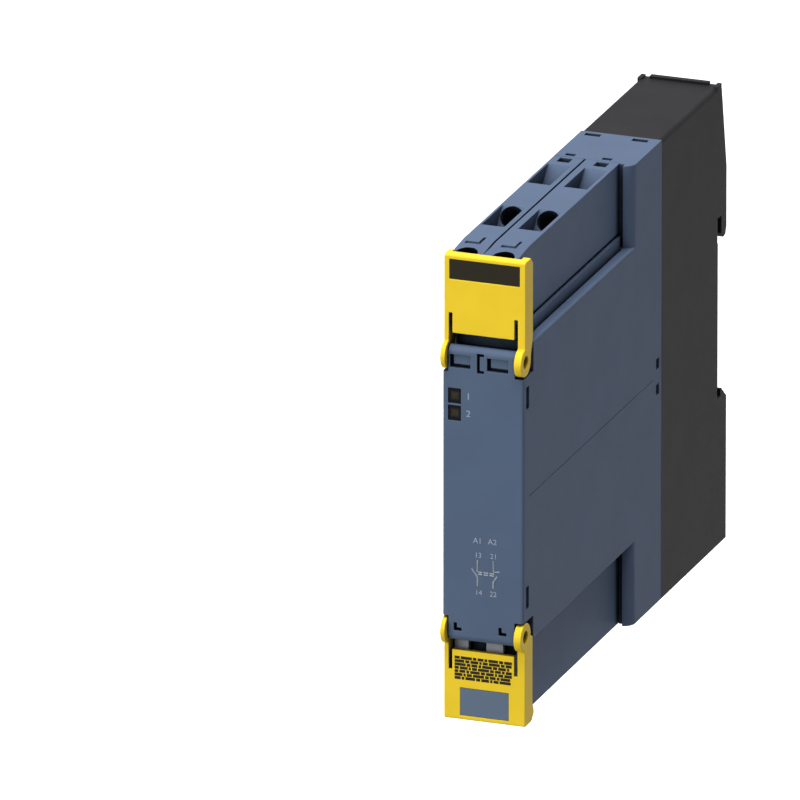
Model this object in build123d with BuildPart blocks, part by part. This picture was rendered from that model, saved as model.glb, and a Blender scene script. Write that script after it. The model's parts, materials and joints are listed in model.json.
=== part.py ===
from build123d import *
import os
from math import cos, radians, sin, sqrt, tan

# A slim interface relay for a 35 mm rail. Millimetres, +X to the right as seen
# from the front, +Y to the rear, +Z up. The origin is on the rail seat, at the
# middle of the rail and of the unit's width.

os.makedirs("parts", exist_ok=True)

# The unit as a whole
unit_width = 17.5
unit_height = 100.0
seat_depth = 116.2  # from the front plane of the covers to the rail seat
wall = 1.2  # side walls of both housings
seam_gap = 0.1  # between pieces that are pushed together by hand
cut_over = 1.0  # how far a cut runs past the face that it opens

# Rail and hooks
rail_width = 35.0
rail_clear = 0.3  # below the rail's lower edge, in the lower hook
release_travel = 3.5  # how far the unit is pushed down to come off the rail
hook_reach = 5.4  # rear face of the unit behind the rail seat
seat_relief = 0.3  # the slot walls stand this far in front of the seat
lower_slot_width = 1.8
upper_slot_width = 2.1
lip_cover = 1.3  # how far a hook tip covers the rail's lip
upper_lip_cover = 1.0
hook_back = 5.2  # rear face of the upper hook behind the seat
finger_drop = 2.6  # the lower finger's rear slope
finger_land = 0.5
tongue_tip = 1.2  # rounding height of the upper hook's tip

# Rear housing
split_depth = 81.65  # where the rear housing meets the front housing
rear_top_depth = 118.2  # the top face ends here and the back slopes out
slope_bottom = 31.5  # height where the sloping back becomes straight
rear_wall = 1.7
rear_edge_round = 0.9
spigot_length = 3.8
spigot_wall = 0.9
bar_rise = 0.6
ear_rise = 0.42
bar_depth = 1.3
bar_left = 2.2
bar_right = 15.0
ear_width = 0.9
ear_depth = 2.6

# Front housing
step_depth = 66.6  # in front of this the terminal zones are narrower
block_seat_depth = 65.3
block_width = 14.2
roof = 2.0  # the wall under a ledge
bed_rise = 1.7
rim_rise = 0.5  # rim beside a block's foot, above the block's underside
rim_thick = 0.6
groove_width = 0.6
groove_cut = 0.8
ledge_round = 0.5
step_front = 63.6
corner_groove = 1.3  # how far the groove in the step's corner is cut back
bed_start = 3.8
snap_slot_width = 3.4
snap_slot_length = 1.5
snap_slot_depth = 79.9
snap_slot_places = (3.1, 13.4)
side_hole_width = 1.8
side_hole_height = 2.3
side_hole_depth = 79.4
side_hole_places = (2.2, -3.4)
seam_height = -0.5
seam_size = 0.14
seam_front_depth = 2.0
seam_rear_depth = 76.6
lug_room_depth = 3.5

# Front panel
panel_front = -1.5
panel_top_drop = 1.0  # below the ledge
panel_bottom_drop = 0.25
panel_end_round = 1.4
panel_side_round = 0.6
neck_left = 1.3
neck_right = 15.6
panel_skirt = 2.5
panel_skirt_wall = 0.8
tab_height = 4.8
tab_offsets = (7.9, 8.3)  # from the upper and the lower hinge axis
tab_depth = 1.9
tab_sink = 0.5
window_width = 2.8
window_height = 3.3
window_left = 1.2
window_drops = (10.7, 14.4)  # below the panel's upper edge
pocket_sink = 1.5
panel_pockets = ((1.6, 6.0), (9.6, 14.2))
panel_pocket_height = 2.8
panel_pocket_bar = 0.75  # deep groove at a pocket's left and lower side
panel_pocket_floor = 0.35
panel_pocket_drop = 0.9  # below the upper hinge axis
bracket_place = 8.2
bracket_width = 1.5
bracket_height = 4.2
bracket_bar = 0.6
lower_pocket_places = (3.3, 13.0)
lower_pocket_size = 1.7
lower_pocket_height = 1.7
lower_pocket_bar = 0.7
lower_pocket_rise = 1.1  # above the hinge axis

# Cover hinges
upper_pivot_drop = 3.3  # below the ledge
lower_pivot_rise = 1.8
lug_radius = 3.0
lug_hole_radius = 1.4
boss_radius = 1.35
boss_left_recess = 0.5
boss_right_recess = 1.1
left_arm = 1.0
right_arm = 1.6
arm_depth = 4.2
arm_corner = 1.4
arm_lean = radians(12)  # where an arm's rear edge meets its lug
hinge_gap = 0.3

# Covers
cover_front = -0.5
cover_sheet = 1.2
upper_cover_rise = 0.5  # above the housing
lower_cover_short = 0.2
# From the pivot to the plate's free edge, from the pivot to an arm's neck, and
# how far the finger grip of the right arm stands out
upper_cover_sizes = (4.75, 4.4, 0.0)
lower_cover_sizes = (4.3, 1.0, 0.8)
slit_width = 0.75
slit_length = 4.3
cover_round = 0.5
lip_depth = 1.5
lip_thick = 1.0
slit_start = 2.0  # below the plate's edge
upper_label_left = 1.1
upper_label_right = 16.3
upper_label_height = 4.3
upper_label_drop = 1.0
label_sheet = 0.4
lower_label_left = 3.5
lower_label_right = 14.0
lower_label_height = 6.0
lower_label_rise = 1.0
label_gap = 0.05

# Terminal blocks
block_front = 1.8
block_floor = 0.6  # under the lowest clamp
foot_height = 1.05  # the block is narrower below this
foot_step = 0.35
nose_cut = 2.0  # the front face is cut back below this height, for the tabs
nose_rise = 1.6
droop_length = 9.0
droop_drop = 0.8
column_places = (3.0, 10.95)
column_groove = 6.75
column_groove_width = 0.45
column_groove_cut = 0.6
pocket_width = 5.0
pocket_fronts = (20.2, 47.6)
pocket_length = 12.8
wire_radius = 1.7
driver_radius = 2.4
front_driver_depth = 4.3  # where the front driver axis meets the height below
front_driver_sink = 1.0  # below the top face
driver_inset = 2.47  # along the pocket's rear slope, from its upper edge
latch_slot_width = 2.7
latch_slot_depths = (61.9, 64.4)
latch_slot_cut = 5.0
small_slot_width = 2.1
small_slot_depths = (66.1, 67.4)
mark_places = (2.65, 10.4)
mark_length = 3.4
mark_width = 1.2
mark_depth = 8.8
mark_arm = 4.2
mark_arm_width = 0.6
mark_cut = 0.5

# Release tabs that hang below the front edge of a block
tab_spans = ((1.4, 4.4), (8.3, 11.9))
tab_front = 2.0
tab_sheet = 1.2
tab_drop = 1.3

# Clamps, screws and contacts
cage_width = 4.0
cage_thick = 4.1
cage_wall = 0.9
cage_side = 0.72
thread_gap = 0.05
cage_nut = 1.5
clamp_travel = 2.0
wire_gap = 2.2
strip_thick = 0.9
strip_width = 2.4
chamber_gap = 0.2
screw_radius = 1.25
head_radius = 2.1
head_height = 1.8
head_gap = 0.15
slot_width = 0.6
slot_cut = 0.8
blade_length = 7.2
blade_slot_gap = 0.3

# Headers and board
header_height = 7.0
header_wall = 1.4
header_side = 0.4
header_floor = 1.0
header_gap = 0.2
board_left = 2.2
board_thick = 1.6
board_front = 8.0
board_rear = 112.0
board_half = 21.0
board_rear_half = 44.0
board_wide_depth = 70.0
board_rib = 2.0

# Light guides and lamps
guide_gap = 0.1
guide_set_back = 0.3
guide_rear = 6.4
flange_thick = 0.8
flange_extra = 0.5
lamp_thick = 1.2
lamp_size = 2.0

# Relay on the board
relay_front = 70.5
relay_length = 39.0
relay_half = 12.0
relay_height = 11.4
relay_base_thick = 1.6
case_wall = 0.7
relay_gap = 0.1
coil_start = 4.2
coil_end = 22.0
coil_radius = 4.0
flange_plate = 1.0
bobbin_radius = 2.2
core_radius = 1.5
pole_radius = 3.0
pole_thick = 0.8
winding_gap = 0.3
yoke_thick = 1.4
yoke_side = 5.8
iron_reach = 3.2  # yoke and armature reach this far over the coil's axis
armature_thick = 1.2
armature_angle = 4.2
angle_slack = 0.2
card_offset = 7.2
card_width = 1.6
card_height = 1.2
card_gap = 0.25
spring_places = (27.5, 33.0)
spring_thick = 0.3
spring_width = 4.6
contact_radius = 1.0
contact_thick = 0.5
open_slack = 0.16  # left between closed contacts after the card's travel
closed_gap = 0.05
hinge_slack = 0.1
hinge_bead = 0.35  # round bead of the armature in the yoke's inner corner
bead_gap = 0.05
tip_over = 0.3  # how far the armature reaches past the card
winding_slack = 0.1
bobbin_bore_gap = 0.05
card_slack = 0.4
card_bridge = 2.0
card_hook = 0.6
leaf_lift = 0.06
leaf_short = 0.6
leaf_root = 0.3  # radius of a leaf's rolled root
leaf_offset = 1.2
post_thick = 1.0
post_drop = 2.2

# Parts on the board
capacitor_radius = 4.0
capacitor_height = 10.5
capacitor_rim = 0.5
capacitor_place = (34.0, 8.0)
rectifier_size = (4.0, 6.4, 5.0)
rectifier_place = (26.0, -9.0)
suppressor_radius = 3.6
suppressor_thick = 3.2
suppressor_place = (44.0, -8.0)

# Rail shoe and its spring
shoe_width = 6.0
shoe_flange = 8.8
shoe_thick = 1.8
shoe_chamfer = 0.4
chamber_thick = 3.4
chamber_back = 0.3
chamber_floor = 24.0
chamber_roof = 36.0
flange_height = 2.2
spring_pin_radius = 0.85
spring_pin_height = 3.0
coil_spring_radius = 1.3
coil_wire_radius = 0.22
coil_spring_turns = 6

# Values that follow from the sizes above
half_width = unit_width / 2
half_height = unit_height / 2
half_rail = rail_width / 2
slant = 1 / sqrt(2)  # terminals stand at 45 degrees
block_top = half_height
cage_top = wire_gap / 2 + strip_thick + seam_gap + cage_nut
chamber_near = -(cage_top + clamp_travel + seam_gap)
chamber_far = wire_gap / 2 + cage_wall + chamber_gap
chamber_half = cage_thick / 2 + chamber_gap


def driver_axes():
    """Depth plus height of each driver axis, which is constant along it."""
    front_axis = front_driver_depth + block_top - front_driver_sink
    rear_edge = pocket_fronts[0] + pocket_length
    rear_axis = rear_edge + block_top - 2 * driver_inset * slant
    return front_axis, rear_axis


def wire_axes():
    """Depth minus height of each wire axis, which is constant along it."""
    return [front + pocket_length / 4 - (block_top - pocket_length / 4) for front in pocket_fronts]


def clamp_centres():
    """Where each driver axis meets its wire axis, as (depth, height)."""
    centres = []
    for total, difference in zip(driver_axes(), wire_axes()):
        centres.append(((total + difference) / 2, (total - difference) / 2))
    return centres


# The lowest clamp sets the block's underside, and so the ledges and the covers
lowest_clamp = min(height for _, height in clamp_centres())
block_bottom = lowest_clamp - slant * (chamber_far + chamber_half) - block_floor
ledge_height = block_bottom - seam_gap - bed_rise
panel_top = ledge_height - panel_top_drop
panel_bottom = -panel_bottom_drop - ledge_height
upper_pivot = ledge_height - upper_pivot_drop
lower_pivot = lower_pivot_rise - ledge_height
window_places = [panel_top - drop for drop in window_drops]
tab_places = (upper_pivot - tab_offsets[0], lower_pivot + tab_offsets[1])
panel_pocket_place = upper_pivot - panel_pocket_drop
upper_cover_top = half_height + upper_cover_rise
lower_cover_end = lower_cover_short - half_height


def depth(value):
    """Y of a place that is this far behind the covers' front plane."""
    return value - seat_depth


def from_left(value):
    """X of a place that is this far from the unit's left side."""
    return value - half_width


def block(x_range, y_range, z_range, mode=Mode.ADD):
    """A box between two corners, for walls, slots and lugs."""
    size = [high - low for low, high in (x_range, y_range, z_range)]
    middle = [(high + low) / 2 for low, high in (x_range, y_range, z_range)]
    with Locations(tuple(middle)):
        return Box(*size, mode=mode)


def side_prism(points, x_low, x_high, mode=Mode.ADD):
    """Extrudes an outline drawn in the side view between two X values."""
    with BuildSketch(Plane.YZ.offset((x_low + x_high) / 2)) as outline:
        with BuildLine():
            Polyline(*points, close=True)
        make_face()
    return extrude(outline.sketch, amount=(x_high - x_low) / 2, both=True, mode=mode)


def finish(builder, name):
    """Labels a finished piece and writes its file."""
    builder.part.label = name
    export_step(builder.part, f"parts/{name}.step")


# Heights at the rail
lower_slot_floor = -half_rail - rail_clear
lower_tip = -half_rail + lip_cover
upper_tip = half_rail - upper_lip_cover
upper_slot_top = half_rail + release_travel + rail_clear * 2
seat_margin = 0.4
slot_middle = (upper_slot_width - seat_relief) / 2
chamber_middle = slot_middle + chamber_back
seat_bottom = lower_tip + seat_margin
seat_top = upper_tip - seat_margin

# Shared places in depth
split_y = depth(split_depth)
block_front_y = depth(block_front)
block_rear_y = depth(block_seat_depth - seam_gap)
inner_left = from_left(wall)
inner_right = from_left(unit_width - wall)
block_right = from_left(block_width)
rim_right = block_right + rim_thick + seam_gap


full_width = (-half_width - cut_over, half_width + cut_over)


def cut_sides(y_range, z_range):
    """Cuts both sides of the unit back to the neck between the cover lugs."""
    block((full_width[0], from_left(neck_left)), y_range, z_range, mode=Mode.SUBTRACT)
    block((from_left(neck_right), full_width[1]), y_range, z_range, mode=Mode.SUBTRACT)


def build_rear_housing():
    """Black housing with the rail seat and hooks, open towards the front."""
    top_y = depth(rear_top_depth)
    finger_root = lower_slot_width
    outline = [
        (split_y, -half_height),
        (hook_reach, -half_height),
        (hook_reach, lower_tip - finger_drop),
        (finger_root + finger_land, lower_tip),
        (finger_root, lower_tip),
        (finger_root, lower_slot_floor),
        (-seat_relief, lower_slot_floor),
        (-seat_relief, seat_bottom),
        (0, seat_bottom),
        (0, seat_top),
        (-seat_relief, seat_top),
        (-seat_relief, upper_slot_top),
        (upper_slot_width, upper_slot_top),
        (upper_slot_width, upper_tip + tongue_tip),
        (upper_slot_width + tongue_tip, upper_tip),
        (hook_back - tongue_tip / 2, upper_tip + tongue_tip / 4),
        (hook_back, upper_tip + tongue_tip * 1.5),
        (hook_back, slope_bottom),
        (top_y, half_height),
        (split_y, half_height),
    ]
    inner_back = hook_reach - rear_wall
    inner_seat = -seat_relief - rear_wall
    hollow = [
        (split_y, -half_height + wall),
        (inner_back, -half_height + wall),
        (inner_back, lower_tip - finger_drop - rear_wall),
        (inner_seat, lower_slot_floor - rear_wall),
        (inner_seat, chamber_roof + rear_wall),
        (inner_seat + rear_wall, chamber_roof + 2 * rear_wall),
        (top_y - rear_wall, half_height - wall),
        (split_y, half_height - wall),
    ]
    chamber_rear = chamber_middle + chamber_thick / 2
    with BuildPart() as housing:
        side_prism(outline, -half_width, half_width)
        top_edges = housing.edges().filter_by(Axis.Y).group_by(Axis.Z)[-1]
        fillet(top_edges, radius=rear_edge_round)
        side_prism(hollow, inner_left, inner_right, mode=Mode.SUBTRACT)
        block(
            (from_left(bar_left), from_left(bar_right)),
            (top_y - bar_depth, top_y),
            (half_height - wall, half_height + bar_rise),
        )
        for low, high in ((-half_width, -half_width + ear_width), (half_width - ear_width, half_width)):
            block((low, high), (top_y - ear_depth, top_y), (half_height - wall, half_height + ear_rise))
        # Room for the rail shoe and its spring, open to the slot below
        block(
            (-shoe_flange / 2 - seam_gap, shoe_flange / 2 + seam_gap),
            (inner_seat - seam_gap, chamber_rear),
            (chamber_floor, chamber_roof),
            mode=Mode.SUBTRACT,
        )
        block(
            (-shoe_width / 2 - seam_gap, shoe_width / 2 + seam_gap),
            (-seat_relief, upper_slot_width),
            (upper_slot_top - seam_gap, chamber_floor + seam_gap),
            mode=Mode.SUBTRACT,
        )
        # Spigot that enters the front housing
        spigot_x = (inner_left + seam_gap, inner_right - seam_gap)
        spigot_z = half_height - wall - seam_gap
        block(spigot_x, (split_y - spigot_length, split_y + spigot_wall), (-spigot_z, spigot_z))
        block(
            (spigot_x[0] + spigot_wall, spigot_x[1] - spigot_wall),
            (split_y - spigot_length, split_y + spigot_wall),
            (-spigot_z + spigot_wall, spigot_z - spigot_wall),
            mode=Mode.SUBTRACT,
        )
        # Snap noses in the slots of the front housing
        nose_half = snap_slot_width / 2 - seam_gap
        nose_y = (
            depth(snap_slot_depth - snap_slot_length / 2 + seam_gap),
            depth(snap_slot_depth + snap_slot_length / 2 - seam_gap),
        )
        for place in snap_slot_places:
            for up in (1, -1):
                nose_z = sorted((up * (spigot_z - spigot_wall), up * (half_height - wall / 2)))
                block((from_left(place - nose_half), from_left(place + nose_half)), nose_y, nose_z)
        # Ribs that the circuit board lies on
        for rib in (-board_rear_half + 4 * board_rib, 0, board_rear_half - 4 * board_rib):
            block(
                (inner_left - seam_gap, from_left(board_left)),
                (split_y + spigot_wall, inner_seat + seam_gap),
                (rib - board_rib / 2, rib + board_rib / 2),
            )
    finish(housing, "rear_housing")


def draw_collar():
    """Plan view of the wide part behind the blocks, with its rounded step."""
    corner_x = block_right + seam_gap
    groove_right = rim_right + groove_width
    groove_back = depth(step_front + corner_groove)
    arc_start = (groove_right, depth(step_front))
    arc_end = (half_width, depth(step_depth))
    arc_middle = (
        arc_start[0] + (arc_end[0] - arc_start[0]) * slant,
        arc_start[1] + (arc_end[1] - arc_start[1]) * (1 - slant),
    )
    front = depth(block_seat_depth)
    Polyline((half_width, split_y), (-half_width, split_y), (-half_width, front), (corner_x, front))
    Polyline((corner_x, front), (corner_x, groove_back), (groove_right, groove_back), arc_start)
    ThreePointArc(arc_start, arc_middle, arc_end)
    Line(arc_end, (half_width, split_y))


def build_front_housing():
    """Grey-blue housing: a wide collar at the rear and a middle tube."""
    with BuildPart() as housing:
        # Middle tube behind the front panel
        block((-half_width, half_width), (depth(0), split_y), (-ledge_height, ledge_height))
        ledge_edges = [
            edge
            for edge in housing.edges().filter_by(Axis.Y)
            if edge.center().X > 0
        ]
        fillet(ledge_edges, radius=ledge_round)
        # Full-height collar with the rounded step beside each terminal block
        with BuildSketch(Plane.XY.offset(-half_height)):
            with BuildLine():
                draw_collar()
            make_face()
        extrude(amount=unit_height)
        # Beds under the terminal blocks, and the grooves beside them
        for up in (1, -1):
            block(
                (-half_width, block_right),
                (depth(bed_start), depth(block_seat_depth)),
                sorted((up * (ledge_height - roof), up * (ledge_height + bed_rise))),
            )
            beside = (depth(arm_depth + hinge_gap), depth(step_front))
            rim_y = (depth(arm_depth + hinge_gap), depth(step_front + corner_groove))
            rim_z = sorted((up * (ledge_height - roof), up * (block_bottom + rim_rise)))
            block((block_right, rim_right), rim_y, rim_z)
            block(
                (rim_right, rim_right + groove_width),
                beside,
                sorted((up * (ledge_height - groove_cut), up * (ledge_height + cut_over))),
                mode=Mode.SUBTRACT,
            )
        # Inside of the tube and of the collar
        block(
            (inner_left, inner_right),
            (depth(-cut_over), split_y + cut_over),
            (-ledge_height + roof, ledge_height - roof),
            mode=Mode.SUBTRACT,
        )
        block(
            (inner_left, inner_right),
            (depth(step_depth) + 2 * wall, split_y + cut_over),
            (-half_height + wall, half_height - wall),
            mode=Mode.SUBTRACT,
        )
        # The front corners make room for the cover lugs
        for pivot, up in ((upper_pivot, 1), (lower_pivot, -1)):
            corner_z = sorted((pivot - up * (lug_radius + hinge_gap), up * (block_bottom + cut_over)))
            corner_y = (depth(-cut_over), depth(arm_depth + hinge_gap))
            cut_sides(corner_y, corner_z)
            gap_z = sorted((up * (block_bottom + cut_over), up * (ledge_height - roof - seam_gap)))
            block(full_width, (depth(-cut_over), depth(lug_room_depth)), gap_z, mode=Mode.SUBTRACT)
        # Notches for the tabs of the front panel
        for place in tab_places:
            notch_z = (place - tab_height / 2, place + tab_height / 2)
            block(full_width, (depth(-cut_over), depth(tab_depth)), notch_z, mode=Mode.SUBTRACT)
        # Snap slots in the top and bottom, and small holes in the sides
        for place in snap_slot_places:
            with BuildSketch(Plane.XY.offset(-half_height - cut_over)):
                with Locations((from_left(place), depth(snap_slot_depth))):
                    Rectangle(snap_slot_width, snap_slot_length)
            extrude(amount=unit_height + 2 * cut_over, mode=Mode.SUBTRACT)
        for place in side_hole_places:
            hole_half = side_hole_width / 2
            hole_y = (depth(side_hole_depth - hole_half), depth(side_hole_depth + hole_half))
            hole_z = (place - side_hole_height / 2, place + side_hole_height / 2)
            block((half_width - wall / 2, half_width + cut_over), hole_y, hole_z, mode=Mode.SUBTRACT)
        # Release slots behind the terminal blocks
        for place in column_places:
            for up in (1, -1):
                slot_x = (from_left(place - small_slot_width / 2), from_left(place + small_slot_width / 2))
                slot_y = (depth(small_slot_depths[0]), depth(small_slot_depths[1]))
                slot_z = sorted((up * (half_height - wall), up * (half_height + cut_over)))
                block(slot_x, slot_y, slot_z, mode=Mode.SUBTRACT)
        # Fine seam on the right side
        block(
            (half_width - seam_size, half_width + cut_over),
            (depth(seam_front_depth), depth(seam_rear_depth)),
            (seam_height - seam_size / 2, seam_height + seam_size / 2),
            mode=Mode.SUBTRACT,
        )
        # Slots for the blades of the terminal blocks
        for place in column_places:
            for centre in clamp_centres():
                x = from_left(place)
                leg_y = blade_place(centre)
                half_wide = strip_width / 2 + blade_slot_gap
                half_thick = strip_thick / 2 + blade_slot_gap
                for up in (1, -1):
                    slot_z = sorted((up * (ledge_height - roof - cut_over), up * (block_bottom + cut_over)))
                    slot_x = (x - half_wide, x + half_wide)
                    block(slot_x, (leg_y - half_thick, leg_y + half_thick), slot_z, mode=Mode.SUBTRACT)
        # Rib that the circuit board lies on
        for rib in (-board_half + 2 * board_rib, board_half - 2 * board_rib):
            block(
                (inner_left - seam_gap, from_left(board_left)),
                (depth(board_front), depth(step_depth)),
                (rib - board_rib / 2, rib + board_rib / 2),
            )
    finish(housing, "front_housing")


def build_front_panel():
    """Front plate with window holes, shallow pockets and hinge bosses."""
    front_y = depth(panel_front)
    with BuildPart() as panel:
        block((-half_width, half_width), (front_y, depth(0)), (panel_bottom, panel_top))
        end_edges = panel.edges().filter_by(Axis.X).group_by(Axis.Y)[0]
        fillet(end_edges, radius=panel_end_round)
        side_edges = panel.edges().filter_by(Axis.Z).group_by(Axis.Y)[0]
        fillet(side_edges, radius=panel_side_round)
        # Necks between the cover lugs, thicker to the rear
        for pivot, up, end in ((upper_pivot, 1, panel_top), (lower_pivot, -1, panel_bottom)):
            shoulder = pivot - up * (lug_radius + hinge_gap)
            corner_z = sorted((shoulder, end + up * cut_over))
            cut_sides((front_y - cut_over, depth(cut_over)), corner_z)
            block(
                (from_left(neck_left), from_left(neck_right)),
                (depth(0), depth(arm_depth)),
                sorted((shoulder, up * (ledge_height - roof - seam_gap))),
            )
            with BuildSketch(Plane.YZ.offset(-half_width + boss_left_recess)):
                with Locations((depth(0), pivot)):
                    Circle(boss_radius)
            extrude(amount=unit_width - boss_left_recess - boss_right_recess)
        # Skirt inside the front housing, with a tab in each side notch
        skirt_z = (lower_pivot + lug_radius + 2 * hinge_gap, upper_pivot - lug_radius - 2 * hinge_gap)
        skirt_x = (inner_left + seam_gap, inner_right - seam_gap)
        block(skirt_x, (depth(0), depth(panel_skirt)), skirt_z)
        block(
            (skirt_x[0] + panel_skirt_wall, skirt_x[1] - panel_skirt_wall),
            (depth(0), depth(panel_skirt)),
            (skirt_z[0] + panel_skirt_wall, skirt_z[1] - panel_skirt_wall),
            mode=Mode.SUBTRACT,
        )
        for place in tab_places:
            for side in (-1, 1):
                block(
                    sorted((side * (half_width - wall - 2 * seam_gap), side * (half_width - tab_sink))),
                    (depth(0), depth(tab_depth - seam_gap)),
                    (place - tab_height / 2 + seam_gap, place + tab_height / 2 - seam_gap),
                )
        # Windows for the light guides
        for place in window_places:
            block(
                (from_left(window_left), from_left(window_left + window_width)),
                (front_y - cut_over, depth(panel_skirt)),
                (place - window_height / 2, place + window_height / 2),
                mode=Mode.SUBTRACT,
            )
        # Shallow pockets between the lugs
        sunk = (front_y - cut_over, front_y + pocket_sink)
        shallow = (front_y - cut_over, front_y + panel_pocket_floor)
        pocket_low = panel_pocket_place - panel_pocket_height / 2
        pocket_z = (pocket_low, pocket_low + panel_pocket_height)
        for low, high in panel_pockets:
            left, right = from_left(low), from_left(high)
            block((left, right), shallow, pocket_z, mode=Mode.SUBTRACT)
            block((left, left + panel_pocket_bar), sunk, pocket_z, mode=Mode.SUBTRACT)
            block((left, right), sunk, (pocket_low, pocket_low + panel_pocket_bar), mode=Mode.SUBTRACT)
        low = panel_pocket_place - bracket_height / 2
        high = panel_pocket_place + bracket_height / 2
        left = from_left(bracket_place - bracket_width / 2)
        right = from_left(bracket_place + bracket_width / 2)
        block((left, left + bracket_bar), sunk, (low, high), mode=Mode.SUBTRACT)
        block((left, right), sunk, (low, low + bracket_bar), mode=Mode.SUBTRACT)
        block((left, right), sunk, (high - bracket_bar, high), mode=Mode.SUBTRACT)
        for place in lower_pocket_places:
            left = from_left(place) - lower_pocket_size / 2
            low = lower_pivot + lower_pocket_rise - lower_pocket_height / 2
            across = (left, left + lower_pocket_size)
            block((left, left + lower_pocket_bar), sunk, (low, low + lower_pocket_height), mode=Mode.SUBTRACT)
            block(across, sunk, (low, low + lower_pocket_bar), mode=Mode.SUBTRACT)
    finish(panel, "front_panel")


def arm_outline(pivot, up, end_z, neck_rise, bulge):
    """Side view of a cover's arm; a bulge at its end is a finger grip."""
    front = depth(cover_front)
    rear = depth(arm_depth)
    outline = [
        (front, pivot),
        (front, end_z),
        (rear - arm_corner + bulge, end_z),
        (rear + bulge, end_z - up * arm_corner),
    ]
    if bulge > 0:
        outline.append((rear + bulge, end_z - up * (arm_corner + bulge)))
        outline.append((rear, end_z - up * (arm_corner + 3 * bulge)))
    outline.append((rear, pivot + up * neck_rise))
    outline.append((depth(0) + lug_radius * cos(arm_lean), pivot + up * lug_radius * sin(arm_lean)))
    outline.append((depth(0), pivot))
    return outline


def build_cover(name, pivot, up, end_z, plate_start, neck_rise, grip, label_x, label_z):
    """Yellow cover: plate, two side walls, slit-freed arms and round lugs."""
    front = depth(cover_front)
    plate_z = pivot + up * plate_start
    pivot_y = depth(0)
    left = (-half_width, -half_width + left_arm, 0.0)
    right = (half_width - right_arm, half_width, grip)
    with BuildPart() as cover:
        for x_low, x_high, bulge in (left, right):
            side_prism(arm_outline(pivot, up, end_z, neck_rise, bulge), x_low, x_high)
            with BuildSketch(Plane.YZ.offset(x_low)):
                with Locations((pivot_y, pivot)):
                    Circle(lug_radius)
            extrude(amount=x_high - x_low)
        # Front plate and its lip
        block((-half_width, half_width), (front, front + cover_sheet), sorted((plate_z, end_z)))
        block((-half_width, half_width), (front, depth(lip_depth)), sorted((end_z - up * lip_thick, end_z)))
        end_edges = cover.edges().filter_by(Axis.X).group_by(Axis.Z)[-1 if up > 0 else 0]
        fillet(end_edges.sort_by(Axis.Y)[0], radius=cover_round)
        # Slits beside the plate free the two arms
        for low in (-half_width + left_arm, half_width - right_arm - slit_width):
            block(
                (low, low + slit_width),
                (front - cut_over, front + cover_sheet + cut_over),
                sorted((plate_z - up * slit_start, plate_z + up * slit_length)),
                mode=Mode.SUBTRACT,
            )
        # Holes for the hinge bosses
        with BuildSketch(Plane.YZ.offset(-half_width - cut_over)):
            with Locations((pivot_y, pivot)):
                Circle(lug_hole_radius)
        extrude(amount=unit_width + 2 * cut_over, mode=Mode.SUBTRACT)
        # Recess for the label plate
        block(label_x, (front - cut_over, front + label_sheet), label_z, mode=Mode.SUBTRACT)
    finish(cover, name)


def build_label(name, label_x, label_z):
    """Thin plate in the cover's recess."""
    front = depth(cover_front)
    with BuildPart() as label:
        block(
            (label_x[0] + label_gap, label_x[1] - label_gap),
            (front + label_gap, front + label_sheet),
            (label_z[0] + label_gap, label_z[1] - label_gap),
        )
    finish(label, name)


def along_driver(centre, distance, across=0.0):
    """Point in the side view, this far down the driver axis from a clamp."""
    y = depth(centre[0]) + slant * (distance - across)
    z = centre[1] - slant * (distance + across)
    return y, z


def slanted_box(centre, near, far, half_across, x_low, x_high, mode=Mode.ADD):
    """Box that lies along the driver axis, between two distances."""
    corners = [
        along_driver(centre, near, -half_across),
        along_driver(centre, near, half_across),
        along_driver(centre, far, half_across),
        along_driver(centre, far, -half_across),
    ]
    return side_prism(corners, x_low, x_high, mode=mode)


def slanted_rod(centre, place, near, far, radius, mode=Mode.ADD):
    """Round rod or hole on the driver axis, between two distances."""
    y, z = along_driver(centre, near)
    plane = Plane(origin=(from_left(place), y, z), x_dir=(1, 0, 0), z_dir=(0, slant, -slant))
    with BuildSketch(plane) as section:
        Circle(radius)
    return extrude(section.sketch, amount=far - near, mode=mode)


def blade_place(centre):
    """Y of the upright blade below a clamp, in front of the cage."""
    reach = cage_thick / 2 + 2 * strip_thick
    return along_driver(centre, -wire_gap / 2 - strip_thick / 2, reach)[0]


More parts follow.
